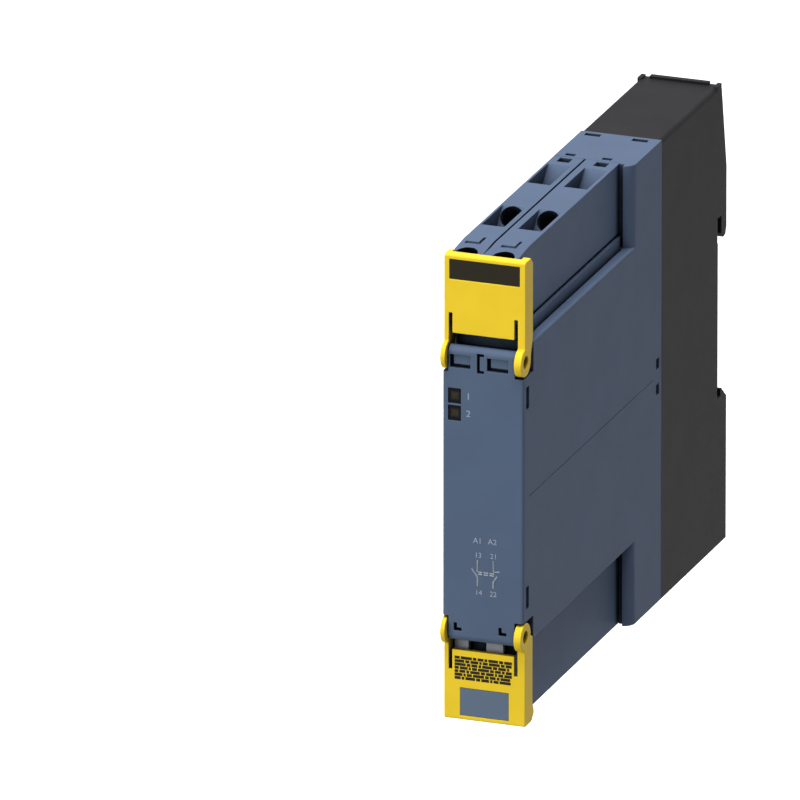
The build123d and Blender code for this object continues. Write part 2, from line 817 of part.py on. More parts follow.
def build_terminal_block():
    """Upper terminal block: two columns of slanting wire and driver holes."""
    outline = [
        (block_front_y, block_bottom + nose_rise),
        (block_front_y + nose_cut, block_bottom + nose_rise),
        (block_front_y + nose_cut, block_bottom),
        (block_rear_y, block_bottom),
        (block_rear_y, block_top),
        (block_front_y + droop_length, block_top),
        (block_front_y, block_top - droop_drop),
    ]
    with BuildPart() as terminals:
        side_prism(outline, -half_width, block_right)
        # Narrower foot inside the housing's rim
        foot_x = (block_right - foot_step, block_right + cut_over)
        whole_depth = (block_front_y - cut_over, block_rear_y + cut_over)
        block(foot_x, whole_depth, (block_bottom - cut_over, block_bottom + foot_height), mode=Mode.SUBTRACT)
        # Room for the cover's left side wall
        over_top = block_top + cut_over
        block(
            (full_width[0], from_left(neck_left)),
            (block_front_y - cut_over, depth(arm_depth + hinge_gap)),
            (block_bottom - cut_over, over_top),
            mode=Mode.SUBTRACT,
        )
        groove_half = column_groove_width / 2
        block(
            (from_left(column_groove - groove_half), from_left(column_groove + groove_half)),
            whole_depth,
            (block_top - column_groove_cut, over_top),
            mode=Mode.SUBTRACT,
        )
        for place, mark_place in zip(column_places, mark_places):
            x = from_left(place)
            for front in pocket_fronts:
                pocket = [
                    (depth(front), block_top),
                    (depth(front), over_top),
                    (depth(front + pocket_length), over_top),
                    (depth(front + pocket_length), block_top),
                    (depth(front + pocket_length / 2), block_top - pocket_length / 2),
                ]
                side_prism(pocket, x - pocket_width / 2, x + pocket_width / 2, mode=Mode.SUBTRACT)
            for centre in clamp_centres():
                # Chamber of the clamp and the driver hole above it
                slanted_box(
                    centre,
                    chamber_near,
                    chamber_far,
                    chamber_half,
                    x - cage_width / 2 - chamber_gap,
                    x + cage_width / 2 + chamber_gap,
                    mode=Mode.SUBTRACT,
                )
                above = (-block_top, chamber_near + seam_gap)
                slanted_rod(centre, place, *above, driver_radius, mode=Mode.SUBTRACT)
                # Round hole for the wire, square to the driver axis
                y, z = along_driver(centre, 0, seam_gap - chamber_half)
                plane = Plane(origin=(x, y, z), x_dir=(1, 0, 0), z_dir=(0, slant, slant))
                with BuildSketch(plane) as hole:
                    Circle(wire_radius)
                extrude(hole.sketch, amount=pocket_length * 1.2, mode=Mode.SUBTRACT)
                # Slot for the contact strip and its blade
                strip_path(centre, x, strip_width / 2 + seam_gap, strip_thick + 2 * seam_gap, Mode.SUBTRACT)
            # Latch slots and the small marks near the cover
            block(
                (x - latch_slot_width / 2, x + latch_slot_width / 2),
                (depth(latch_slot_depths[0]), depth(latch_slot_depths[1])),
                (block_top - latch_slot_cut, over_top),
                mode=Mode.SUBTRACT,
            )
            mark_z = (block_top - mark_cut, over_top)
            mark_end = from_left(mark_place) + mark_length / 2
            bar_y = (depth(mark_depth), depth(mark_depth + mark_width))
            arm_y = (depth(mark_depth), depth(mark_depth + mark_arm))
            block((mark_end - mark_length, mark_end), bar_y, mark_z, mode=Mode.SUBTRACT)
            block((mark_end - mark_arm_width, mark_end), arm_y, mark_z, mode=Mode.SUBTRACT)
    return terminals


def strip_path(centre, x, half_strip, thick, mode):
    """Contact strip: a slanting tongue in the clamp and an upright blade."""
    middle = -wire_gap / 2 - strip_thick / 2
    start = along_driver(centre, middle, -cage_thick / 2 - seam_gap)
    bend_y = blade_place(centre)
    bend = along_driver(centre, middle, cage_thick / 2 + 2 * strip_thick)
    half = thick / 2
    lean = thick * (sqrt(2) - 1) / 2
    shift = half * slant
    outline = [
        (start[0] - shift, start[1] + shift),
        (bend_y - half, bend[1] + lean),
        (bend_y - half, block_bottom - blade_length),
        (bend_y + half, block_bottom - blade_length),
        (bend_y + half, bend[1] - lean),
        (start[0] + shift, start[1] - shift),
    ]
    return side_prism(outline, x - half_strip, x + half_strip, mode=mode)


def build_clamp_pieces(prefix, up):
    """Screws, cages and contact strips of one terminal block."""
    number = 0
    for place in column_places:
        x = from_left(place)
        for centre in clamp_centres():
            number += 1
            tip = -(wire_gap / 2 + strip_thick + seam_gap / 2)
            head_low = -(cage_top + clamp_travel + seam_gap + head_gap)
            head_high = head_low - head_height
            with BuildPart() as screw:
                slanted_rod(centre, place, head_high, head_low, head_radius)
                slanted_rod(centre, place, head_low - seam_gap, tip, screw_radius)
                slanted_box(
                    centre,
                    head_high - cut_over,
                    head_high + slot_cut,
                    slot_width / 2,
                    x - head_radius - cut_over,
                    x + head_radius + cut_over,
                    mode=Mode.SUBTRACT,
                )
                if up < 0:
                    flipped = mirror(screw.part, about=Plane.XY, mode=Mode.PRIVATE)
                    add(flipped, mode=Mode.REPLACE)
            finish(screw, f"{prefix}_screw_{number}")
            with BuildPart() as cage:
                slanted_box(
                    centre,
                    -cage_top,
                    wire_gap / 2 + cage_wall,
                    cage_thick / 2,
                    x - cage_width / 2,
                    x + cage_width / 2,
                )
                slanted_box(
                    centre,
                    -cage_top + cage_nut,
                    wire_gap / 2,
                    cage_thick / 2 + cut_over,
                    x - cage_width / 2 + cage_side,
                    x + cage_width / 2 - cage_side,
                    mode=Mode.SUBTRACT,
                )
                nut_end = cage_nut - cage_top + seam_gap
                thread = screw_radius + thread_gap
                slanted_rod(centre, place, -cage_top - cut_over, nut_end, thread, mode=Mode.SUBTRACT)
                if up < 0:
                    flipped = mirror(cage.part, about=Plane.XY, mode=Mode.PRIVATE)
                    add(flipped, mode=Mode.REPLACE)
            finish(cage, f"{prefix}_clamp_{number}")
    with BuildPart() as strips:
        for place in column_places:
            for centre in clamp_centres():
                strip_path(centre, from_left(place), strip_width / 2, strip_thick, Mode.ADD)
        if up < 0:
            flipped = mirror(strips.part, about=Plane.XY, mode=Mode.PRIVATE)
            add(flipped, mode=Mode.REPLACE)
    finish(strips, f"{prefix}_contact_strips")


def build_terminals():
    """Both terminal blocks with what they hold."""
    upper = build_terminal_block()
    finish(upper, "upper_terminal_block")
    with BuildPart() as lower:
        add(mirror(upper.part, about=Plane.XY, mode=Mode.PRIVATE))
    finish(lower, "lower_terminal_block")
    build_clamp_pieces("upper", 1)
    build_clamp_pieces("lower", -1)


def build_release_tabs():
    """Light tabs under the front edge of each terminal block."""
    for name, up in (("upper_release_tabs", 1), ("lower_release_tabs", -1)):
        with BuildPart() as tabs:
            for low, high in tab_spans:
                block(
                    (from_left(low), from_left(high)),
                    (depth(tab_front), depth(tab_front + tab_sheet)),
                    sorted((up * (block_bottom - tab_drop), up * (block_bottom + nose_rise))),
                )
        finish(tabs, name)


def build_headers():
    """Sockets on the board's edges that take the blades of the blocks."""
    top = ledge_height - roof - header_gap
    for name, up in (("upper_header", 1), ("lower_header", -1)):
        with BuildPart() as header:
            for centre in clamp_centres():
                leg_y = blade_place(centre)
                half_wide = strip_width / 2 + seam_gap
                half_thick = strip_thick / 2 + seam_gap
                left = from_left(column_places[0]) - half_wide - header_side
                right = from_left(column_places[1]) + half_wide + header_wall
                block(
                    (left, right),
                    (leg_y - header_wall * 2, leg_y + header_wall * 2),
                    sorted((up * (top - header_height), up * top)),
                )
                for place in column_places:
                    x = from_left(place)
                    hole_z = sorted((up * (top - header_height + header_floor), up * (top + cut_over)))
                    hole_y = (leg_y - half_thick, leg_y + half_thick)
                    block((x - half_wide, x + half_wide), hole_y, hole_z, mode=Mode.SUBTRACT)
            near = blade_place(clamp_centres()[0])
            far = blade_place(clamp_centres()[1])
            block(
                (from_left(board_left), from_left(board_left + 3 * board_thick)),
                (near, far),
                sorted((up * (top - header_height), up * (top - header_height + header_floor))),
            )
        finish(header, name)


def build_board():
    """Circuit board along the left side, and the small parts on it."""
    edge = ledge_height - roof - header_gap - header_height
    outline = [
        (depth(board_front), -edge),
        (depth(board_wide_depth), -edge),
        (depth(board_wide_depth), -board_rear_half),
        (depth(board_rear), -board_rear_half),
        (depth(board_rear), board_rear_half),
        (depth(board_wide_depth), board_rear_half),
        (depth(board_wide_depth), edge),
        (depth(board_front), edge),
    ]
    face = board_left + board_thick
    with BuildPart() as board:
        side_prism(outline, from_left(board_left), from_left(face))
    finish(board, "circuit_board")

    with BuildPart() as capacitor:
        foot = (from_left(face), depth(capacitor_place[0]), capacitor_place[1])
        with BuildSketch(Plane(origin=foot, x_dir=(0, 1, 0), z_dir=(1, 0, 0))) as round_can:
            Circle(capacitor_radius)
        extrude(round_can.sketch, amount=capacitor_height)
        chamfer(capacitor.edges().filter_by(GeomType.CIRCLE).sort_by(Axis.X)[-1], length=capacitor_rim)
    finish(capacitor, "capacitor")

    with BuildPart() as rectifier:
        x_size, y_size, z_size = rectifier_size
        y = depth(rectifier_place[0])
        z = rectifier_place[1]
        y_range = (y - y_size / 2, y + y_size / 2)
        block((from_left(face), from_left(face) + x_size), y_range, (z - z_size / 2, z + z_size / 2))
    finish(rectifier, "rectifier")

    with BuildPart() as suppressor:
        y = depth(suppressor_place[0])
        z = suppressor_place[1]
        plane = Plane(origin=(from_left(face) + suppressor_radius, y, z), x_dir=(1, 0, 0), z_dir=(0, 1, 0))
        with BuildSketch(plane) as disc:
            Circle(suppressor_radius)
        extrude(disc.sketch, amount=suppressor_thick)
    finish(suppressor, "suppressor")


def build_lamps():
    """Light guides behind the two windows, and the lamps on the board."""
    for number, place in enumerate(window_places, start=1):
        left = from_left(window_left) + guide_gap
        right = from_left(window_left + window_width) - guide_gap
        half = window_height / 2 - guide_gap
        with BuildPart() as guide:
            tall = (place - half, place + half)
            block((left, right), (depth(panel_front) + guide_set_back, depth(guide_rear)), tall)
            flange_y = (depth(panel_skirt) + seam_gap, depth(panel_skirt) + flange_thick)
            block((left, right + flange_extra), flange_y, tall)
        finish(guide, f"light_guide_{number}")
        with BuildPart() as lamp:
            middle = from_left(board_left + board_thick / 2)
            block(
                (middle - lamp_size / 2, middle + lamp_size / 2),
                (depth(board_front) - lamp_thick, depth(board_front)),
                (place - lamp_size / 2, place + lamp_size / 2),
            )
        finish(lamp, f"lamp_{number}")


def relay_y(value):
    """Y of a place this far from the relay's front end."""
    return depth(relay_front) + value


def relay_x(value):
    """X of a place this far above the circuit board."""
    return from_left(board_left + board_thick) + value


def round_along(y_low, y_high, radius, mode=Mode.ADD):
    """Round rod on the coil's axis."""
    coil_x = relay_x(relay_base_thick + winding_gap + coil_radius)
    plane = Plane(origin=(coil_x, y_low, 0), x_dir=(1, 0, 0), z_dir=(0, 1, 0))
    with BuildSketch(plane) as section:
        Circle(radius)
    return extrude(section.sketch, amount=y_high - y_low, mode=mode)


def build_relay():
    """Force-guided relay: coil, armature, guide card and contacts."""
    top = relay_height - case_wall
    with BuildPart() as base:
        base_x = (relay_x(0), relay_x(relay_base_thick))
        block(base_x, (relay_y(0), relay_y(relay_length)), (-relay_half, relay_half))
    finish(base, "relay_base")

    with BuildPart() as case:
        outer = case_wall + relay_gap
        block(
            (relay_x(0), relay_x(relay_height)),
            (relay_y(-outer), relay_y(relay_length + outer)),
            (-relay_half - outer, relay_half + outer),
        )
        block(
            (relay_x(-1), relay_x(top)),
            (relay_y(-relay_gap), relay_y(relay_length + relay_gap)),
            (-relay_half - relay_gap, relay_half + relay_gap),
            mode=Mode.SUBTRACT,
        )
    finish(case, "relay_case")

    with BuildPart() as bobbin:
        round_along(relay_y(coil_start), relay_y(coil_end), bobbin_radius)
        round_along(relay_y(coil_start), relay_y(coil_start + flange_plate), coil_radius)
        round_along(relay_y(coil_end - flange_plate), relay_y(coil_end), coil_radius)
        coil_x = relay_x(relay_base_thick + winding_gap + coil_radius)
        for start in (coil_start, coil_end - flange_plate):
            flange_y = (relay_y(start), relay_y(start + flange_plate))
            block((relay_x(relay_base_thick), coil_x), flange_y, (-coil_radius, coil_radius))
        bore = (relay_y(coil_start - cut_over), relay_y(coil_end + cut_over))
        round_along(*bore, core_radius + bobbin_bore_gap, mode=Mode.SUBTRACT)
    finish(bobbin, "coil_bobbin")

    with BuildPart() as winding:
        wound_from = relay_y(coil_start + flange_plate + winding_slack)
        wound = (wound_from, relay_y(coil_end - flange_plate - winding_slack))
        round_along(*wound, coil_radius - winding_gap)
        round_along(*wound, bobbin_radius + bobbin_bore_gap, mode=Mode.SUBTRACT)
    finish(winding, "coil_winding")

    with BuildPart() as core:
        round_along(relay_y(coil_start), relay_y(coil_end), core_radius)
        round_along(relay_y(coil_start - pole_thick), relay_y(coil_start), pole_radius)
    finish(core, "core")

    coil_x = relay_x(relay_base_thick + winding_gap + coil_radius)
    yoke_front = coil_start - pole_thick
    with BuildPart() as yoke:
        yoke_x = (relay_x(relay_base_thick), coil_x + iron_reach)
        yoke_end = relay_y(coil_end + yoke_thick)
        block(yoke_x, (relay_y(yoke_front), yoke_end), (-yoke_side, -yoke_side + yoke_thick))
        block(yoke_x, (relay_y(coil_end), yoke_end), (-yoke_side, bobbin_radius + yoke_thick))
    finish(yoke, "yoke")

    # The armature turns on a bead in the yoke's corner, and its tip pushes the card
    pivot_z = armature_pivot()
    tip = card_offset + card_width / 2 + tip_over
    lean = tan(radians(armature_angle + angle_slack))
    armature_y = yoke_front - hinge_slack - lean * (tip - pivot_z)
    finger_y = yoke_front - hinge_slack - lean * (card_offset - card_width / 2 - pivot_z)
    with BuildPart() as armature:
        outline = [
            (relay_y(yoke_front - hinge_slack), -yoke_side),
            (relay_y(yoke_front - hinge_slack), pivot_z),
            (relay_y(armature_y), tip),
            (relay_y(armature_y - armature_thick), tip),
            (relay_y(yoke_front - hinge_slack - armature_thick), -yoke_side),
        ]
        side_prism(outline, relay_x(relay_base_thick + card_hook), coil_x + iron_reach)
        with BuildSketch(Plane.YZ.offset(relay_x(relay_base_thick + card_hook))):
            with Locations((relay_y(yoke_front - hinge_slack), pivot_z)):
                Circle(hinge_bead)
        extrude(amount=coil_x + iron_reach - relay_x(relay_base_thick + card_hook))
        finger = [
            (relay_y(finger_y), card_offset - card_width / 2),
            (relay_y(armature_y), tip),
            (relay_y(armature_y - armature_thick), tip),
            (relay_y(finger_y - armature_thick), card_offset - card_width / 2),
        ]
        side_prism(finger, coil_x, relay_x(top - card_slack))
    finish(armature, "armature")

    card_x = (relay_x(top - card_slack - card_height), relay_x(top - card_slack))
    card_start = finger_y + hinge_slack
    card_end = spring_places[1] + card_bridge
    with BuildPart() as card:
        block(
            card_x,
            (relay_y(card_start), relay_y(card_end)),
            (card_offset - card_width / 2, card_offset + card_width / 2 + card_bridge),
        )
        for place in spring_places:
            slot = spring_thick / 2 + card_gap
            block(
                (card_x[0] - cut_over, card_x[1] + cut_over),
                (relay_y(place - slot), relay_y(place + slot)),
                (card_offset - card_width, card_offset + card_width / 2 + card_hook),
                mode=Mode.SUBTRACT,
            )
    finish(card, "guide_card")

    root = relay_base_thick
    contact_z = card_offset - card_width / 2 - 2 * contact_radius
    contact_x = relay_x(top - card_slack - card_height / 2) - contact_radius
    pivot_x = relay_x(root + leaf_lift + leaf_root)
    for name, place, side in (("make_spring", spring_places[0], 1), ("break_spring", spring_places[1], -1)):
        with BuildPart() as leaf:
            leaf_z = (card_offset - card_width / 2 - spring_width + leaf_offset, card_offset + card_width / 2)
            block(
                (pivot_x, relay_x(top - leaf_short)),
                (relay_y(place - spring_thick / 2), relay_y(place + spring_thick / 2)),
                leaf_z,
            )
            with BuildSketch(Plane.XY.offset(leaf_z[0])):
                with Locations((pivot_x, relay_y(place))):
                    Circle(leaf_root)
            extrude(amount=leaf_z[1] - leaf_z[0])
            face_y = relay_y(place + side * spring_thick / 2)
            plane = Plane(origin=(contact_x, face_y, contact_z), x_dir=(1, 0, 0), z_dir=(0, side, 0))
            with BuildSketch(plane) as tip_disc:
                Circle(contact_radius)
            extrude(tip_disc.sketch, amount=contact_thick)
        finish(leaf, name)
    travel = card_travel()
    with BuildPart() as fixed:
        make_place, break_place = spring_places
        posts = ((make_place, 1, travel + open_slack), (break_place, -1, closed_gap))
        for place, side, gap in posts:
            near = place + side * (spring_thick / 2 + contact_thick + gap)
            far = near + side * post_thick
            block(
                (relay_x(root), relay_x(top - post_drop)),
                tuple(sorted((relay_y(near), relay_y(far)))),
                (contact_z - contact_radius - card_slack, contact_z + contact_radius),
            )
    finish(fixed, "fixed_contacts")


def armature_pivot():
    """Height of the armature's axis, just inside the yoke's corner."""
    return -yoke_side + yoke_thick + hinge_bead + bead_gap


def card_travel():
    """How far the armature carries the guide card."""
    return radians(armature_angle) * (card_offset - armature_pivot())


def build_rail_shoe():
    """Sprung shoe that presses on the rail's upper edge."""
    chamber_y = chamber_middle
    with BuildPart() as shoe:
        block(
            (-shoe_width / 2, shoe_width / 2),
            (slot_middle - shoe_thick / 2, slot_middle + shoe_thick / 2),
            (half_rail + seam_gap, chamber_floor + flange_height / 2),
        )
        block(
            (-shoe_flange / 2, shoe_flange / 2),
            (slot_middle - shoe_thick / 2, chamber_y + chamber_thick / 2 - seam_gap),
            (chamber_floor, chamber_floor + flange_height),
        )
        with BuildSketch(Plane.XY.offset(chamber_floor + flange_height)):
            with Locations((0, chamber_y)):
                Circle(spring_pin_radius)
        extrude(amount=spring_pin_height)
        low_edges = shoe.edges().filter_by(Axis.X).sort_by(Axis.Z)[:2]
        chamfer(low_edges, length=shoe_chamfer)
    finish(shoe, "rail_shoe")

    low = chamber_floor + flange_height + coil_wire_radius
    high = chamber_roof - coil_wire_radius
    with BuildPart() as coil:
        with BuildLine():
            path = Helix(
                pitch=(high - low) / coil_spring_turns,
                height=high - low,
                radius=coil_spring_radius,
                center=(0, chamber_y, low),
            )
        with BuildSketch(Plane(origin=path @ 0, z_dir=path % 0)):
            RegularPolygon(coil_wire_radius, 6)
        sweep(path=path, is_frenet=True)
    finish(coil, "rail_spring")


upper_label_x = (from_left(upper_label_left), from_left(upper_label_right))
upper_label_high = upper_cover_top - upper_label_drop
upper_label_z = (upper_label_high - upper_label_height, upper_label_high)
lower_label_x = (from_left(lower_label_left), from_left(lower_label_right))
lower_label_low = lower_cover_end + lower_label_rise
lower_label_z = (lower_label_low, lower_label_low + lower_label_height)

build_rear_housing()
build_front_housing()
build_front_panel()
build_cover("upper_cover", upper_pivot, 1, upper_cover_top, *upper_cover_sizes, upper_label_x, upper_label_z)
build_cover("lower_cover", lower_pivot, -1, lower_cover_end, *lower_cover_sizes, lower_label_x, lower_label_z)
build_label("upper_label", upper_label_x, upper_label_z)
build_label("lower_label", lower_label_x, lower_label_z)
build_terminals()
build_release_tabs()
build_headers()
build_board()
build_lamps()
build_relay()
build_rail_shoe()
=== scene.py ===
import json
import math

import bmesh
import bpy
from mathutils import Matrix, Vector


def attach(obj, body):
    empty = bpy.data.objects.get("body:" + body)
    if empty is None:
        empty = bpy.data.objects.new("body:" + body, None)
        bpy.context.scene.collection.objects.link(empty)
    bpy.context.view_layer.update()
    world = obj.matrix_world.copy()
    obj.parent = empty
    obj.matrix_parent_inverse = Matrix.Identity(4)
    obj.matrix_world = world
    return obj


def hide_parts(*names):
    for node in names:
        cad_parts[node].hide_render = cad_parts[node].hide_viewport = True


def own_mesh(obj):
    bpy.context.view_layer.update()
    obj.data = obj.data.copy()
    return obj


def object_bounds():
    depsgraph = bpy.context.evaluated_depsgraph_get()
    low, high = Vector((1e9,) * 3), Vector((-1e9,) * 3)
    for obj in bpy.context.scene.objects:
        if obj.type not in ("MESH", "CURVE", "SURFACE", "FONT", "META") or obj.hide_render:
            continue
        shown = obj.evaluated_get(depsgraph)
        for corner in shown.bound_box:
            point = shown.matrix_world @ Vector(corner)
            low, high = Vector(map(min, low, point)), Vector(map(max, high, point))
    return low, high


# A slim interface relay for a 35 mm rail. Metres, +X to the right as seen from
# the front, +Y to the rear, +Z up, the origin on the rail seat.

MM = 0.001
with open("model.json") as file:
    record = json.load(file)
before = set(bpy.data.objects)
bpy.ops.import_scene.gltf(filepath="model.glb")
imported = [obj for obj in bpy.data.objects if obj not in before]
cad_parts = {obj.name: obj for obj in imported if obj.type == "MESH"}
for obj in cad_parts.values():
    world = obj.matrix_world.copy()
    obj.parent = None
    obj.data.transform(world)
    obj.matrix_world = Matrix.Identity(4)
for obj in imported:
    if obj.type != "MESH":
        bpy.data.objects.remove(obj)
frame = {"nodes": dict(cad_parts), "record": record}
cad_box = [list(corner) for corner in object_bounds()]
scene = bpy.context.scene
nodes = frame["nodes"]
bodies = frame["record"]["behaviour"]["bodies"]
body_of = {node: body for body, members in bodies.items() for node in members}
slot_of = {entry["node"]: entry["material_slot"] for entry in frame["record"]["subparts"]}


# Helpers for node trees

def link_or_set(tree, socket, value):
    """Links a socket to the one given, or sets its own value."""
    if isinstance(value, bpy.types.NodeSocket):
        tree.links.new(value, socket)
    else:
        socket.default_value = value


def add_node(tree, kind, settings=(), **sockets):
    """A node with its settings, and its sockets linked or set by name.

    A space in a socket's name is written as an underscore.
    """
    node = tree.nodes.new(kind)
    for key, value in dict(settings).items():
        setattr(node, key, value)
    for key, value in sockets.items():
        link_or_set(tree, node.inputs[key.replace("_", " ")], value)
    return node


def arithmetic(tree, operation, *values):
    """The result of a Math node on numbers or sockets."""
    maths = add_node(tree, "ShaderNodeMath", {"operation": operation})
    for socket, value in zip(maths.inputs, values):
        link_or_set(tree, socket, value)
    return maths.outputs["Value"]


def vector(tree, **axes):
    """A vector from any of X, Y and Z."""
    return add_node(tree, "ShaderNodeCombineXYZ", **axes).outputs["Vector"]


# Plastics and metals

CLOUD_SCALE = 95
TARNISH_SCALE = 420
GRAIN_ROUGHNESS = 0.6
EDGE_LEAN = (0.998, 0.93)
OPEN_SKY = (0.14, 0.84)
LENS_OLIVE = (0.042, 0.038, 0.022)
LENS_BROWN = (0.030, 0.027, 0.018)
LENS_RIM_SHADOW = (0.004, 0.005, 0.008)
LACQUER = (0.012, 0.10, 0.04)
LACQUERED_TRACK = (0.03, 0.17, 0.07)
GREY_BLUE = (0.096, 0.138, 0.212)
BLACK = (0.0226, 0.0228, 0.0240)
YELLOW = (0.925, 0.66, 0.036)


def new_material(name):
    """A node material with one shader."""
    material = bpy.data.materials.new(name)
    material.use_nodes = True
    tree = material.node_tree
    tree.nodes.clear()
    shader = add_node(tree, "ShaderNodeBsdfPrincipled")
    add_node(tree, "ShaderNodeOutputMaterial", Surface=shader.outputs["BSDF"])
    return material, tree, shader


def object_noise(tree, scale, detail=2.0, roughness=0.5, stretch=(1, 1, 1)):
    """Noise on the piece's own coordinates."""
    place = add_node(tree, "ShaderNodeTexCoord")
    mapping = add_node(tree, "ShaderNodeMapping", Scale=stretch, Vector=place.outputs["Object"])
    noise = add_node(tree, "ShaderNodeTexNoise", Scale=scale, Detail=detail, Roughness=roughness,
                     Vector=mapping.outputs["Vector"])
    return noise.outputs["Fac"]


def spread(tree, value, low, high, start=0.35, end=0.65):
    """Maps a value that runs from start to end to one that runs from low to high."""
    ramp = add_node(tree, "ShaderNodeMapRange", Value=value, From_Min=start, From_Max=end,
                    To_Min=low, To_Max=high)
    return ramp.outputs["Result"]


def blend_colours(tree, factor, first, second, blend_type="MIX"):
    """Mixes two colours, each given as numbers or as a socket."""
    mix = add_node(tree, "ShaderNodeMix", {"data_type": "RGBA", "blend_type": blend_type}, Factor=factor)
    sockets = [socket for socket in mix.inputs if socket.type == "RGBA"]
    for socket, colour in zip(sockets, (first, second)):
        is_socket = isinstance(colour, bpy.types.NodeSocket)
        link_or_set(tree, socket, colour if is_socket else (*colour, 1.0))
    return next(socket for socket in mix.outputs if socket.type == "RGBA")


def edge_highlight_mask(tree, radius):
    """Painted highlight mask: 1 on outer edges and 0 on faces, from how far a bevelled normal leans."""
    bevel = add_node(tree, "ShaderNodeBevel", {"samples": 4}, Radius=radius)
    geometry = add_node(tree, "ShaderNodeNewGeometry")
    lean = add_node(tree, "ShaderNodeVectorMath", {"operation": "DOT_PRODUCT"})
    tree.links.new(bevel.outputs["Normal"], lean.inputs[0])
    tree.links.new(geometry.outputs["Normal"], lean.inputs[1])
    return spread(tree, lean.outputs["Value"], 0.0, 1.0, *EDGE_LEAN)


def add_bump(tree, shader, height, distance, bevel_radius=None):
    """Bump from a height value, over a softly bevelled normal where a radius is given."""
    bump = add_node(tree, "ShaderNodeBump", Strength=1.0, Distance=distance, Height=height)
    if bevel_radius:
        bevel = add_node(tree, "ShaderNodeBevel", {"samples": 4}, Radius=bevel_radius)
        tree.links.new(bevel.outputs["Normal"], bump.inputs["Normal"])
    tree.links.new(bump.outputs["Normal"], shader.inputs["Normal"])


def painted_recess_shade(tree, colour, reach, shade_depth):
    """The colour, darker where walls close by shut out the light."""
    shelter = add_node(tree, "ShaderNodeAmbientOcclusion", {"samples": 6}, Distance=reach)
    open_air = spread(tree, shelter.outputs["AO"], 0.0, 1.0, *OPEN_SKY)
    shade = blend_colours(tree, open_air, (shade_depth, shade_depth, shade_depth), (1.0, 1.0, 1.0))
    return blend_colours(tree, 1.0, colour, shade, "MULTIPLY")


def moulded_plastic(name, colour, roughness, grain=0.008, grain_scale=5200, variation=0.03, gloss=0.03,
                    edge_highlight=0.12, edge_radius=0.35, soft_edge=0.22, reach=6.0, shade_depth=0.03):
    """Spark-textured moulded plastic, with painted highlights on its edges and painted shade in its recesses.
    """
    material, tree, shader = new_material(name)
    darker = tuple(channel * (1 - variation) for channel in colour)
    lighter = tuple(min(1.0, channel * (1 + variation)) for channel in colour)
    highlight_colour = tuple(min(1.0, channel * (1 + edge_highlight) + 0.01) for channel in colour)
    clouds = spread(tree, object_noise(tree, CLOUD_SCALE, 3.0), 0.0, 1.0)
    base = blend_colours(tree, clouds, darker, lighter)
    # Painted highlight: outer edges are made lighter than the faces.
    highlighted = blend_colours(tree, edge_highlight_mask(tree, edge_radius * MM), base, highlight_colour)
    # Painted shade: holes, grooves and gaps between parts are darkened where walls close by shut out the
    # light.
    tree.links.new(painted_recess_shade(tree, highlighted, reach * MM, shade_depth), shader.inputs["Base Color"])
    fine = object_noise(tree, grain_scale, 3.0, GRAIN_ROUGHNESS)
    tree.links.new(spread(tree, fine, roughness - 0.05, roughness + 0.06), shader.inputs["Roughness"])
    shader.inputs["Specular IOR Level"].default_value = gloss
    shader.inputs["IOR"].default_value = 1.5
    add_bump(tree, shader, fine, grain * MM, soft_edge * MM)
    return material


def plated_metal(name, colour, roughness, brush_scale=1800, stretch=(1, 12, 1)):
    """Plated or drawn metal with fine brushing and faint tarnish."""
    material, tree, shader = new_material(name)
    tarnish = tuple(channel * 0.72 for channel in colour)
    clouds = spread(tree, object_noise(tree, TARNISH_SCALE, 4.0), 0.0, 1.0, 0.42, 0.62)
    tree.links.new(blend_colours(tree, clouds, colour, tarnish), shader.inputs["Base Color"])
    shader.inputs["Metallic"].default_value = 1.0
    brushed = object_noise(tree, brush_scale, 3.0, GRAIN_ROUGHNESS, stretch)
    tree.links.new(spread(tree, brushed, roughness - 0.08, roughness + 0.1), shader.inputs["Roughness"])
    add_bump(tree, shader, brushed, 0.004 * MM)
    return material


def smoked_window(name, across, height):
    """Smoked plastic with a painted shadow at its rim, where the gap around it lies in shade, and the unlit
    lamp dim behind its middle.
    """
    material, tree, shader = new_material(name)
    place = add_node(tree, "ShaderNodeTexCoord")
    parts = add_node(tree, "ShaderNodeSeparateXYZ", Vector=place.outputs["Object"])
    away = []
    for axis, centre in (("X", across), ("Z", height)):
        offset = arithmetic(tree, "SUBTRACT", parts.outputs[axis], centre * MM)
        away.append(arithmetic(tree, "ABSOLUTE", offset))
    # Painted shadow: the window darkens towards its rim.
    rim = spread(tree, arithmetic(tree, "MAXIMUM", *away), 0.0, 1.0, 0.45 * MM, 1.05 * MM)
    specks = spread(tree, object_noise(tree, 900, 2.0), 0.0, 1.0)
    lens = blend_colours(tree, specks, LENS_OLIVE, LENS_BROWN)
    tree.links.new(blend_colours(tree, rim, lens, LENS_RIM_SHADOW), shader.inputs["Base Color"])
    shader.inputs["Roughness"].default_value = 0.3
    shader.inputs["Specular IOR Level"].default_value = 0.06
    return material


def solder_mask(name):
    """Green board lacquer over faint copper tracks."""
    material, tree, shader = new_material(name)
    place = add_node(tree, "ShaderNodeTexCoord")
    cells = add_node(tree, "ShaderNodeTexVoronoi", {"feature": "DISTANCE_TO_EDGE", "distance": "CHEBYCHEV"},
                     Scale=210, Vector=place.outputs["Object"])
    tracks = spread(tree, cells.outputs["Distance"], 1.0, 0.0, 0.03, 0.06)
    tree.links.new(blend_colours(tree, tracks, LACQUER, LACQUERED_TRACK), shader.inputs["Base Color"])
    shader.inputs["Roughness"].default_value = 0.32
    add_bump(tree, shader, tracks, 0.02 * MM)
    return material


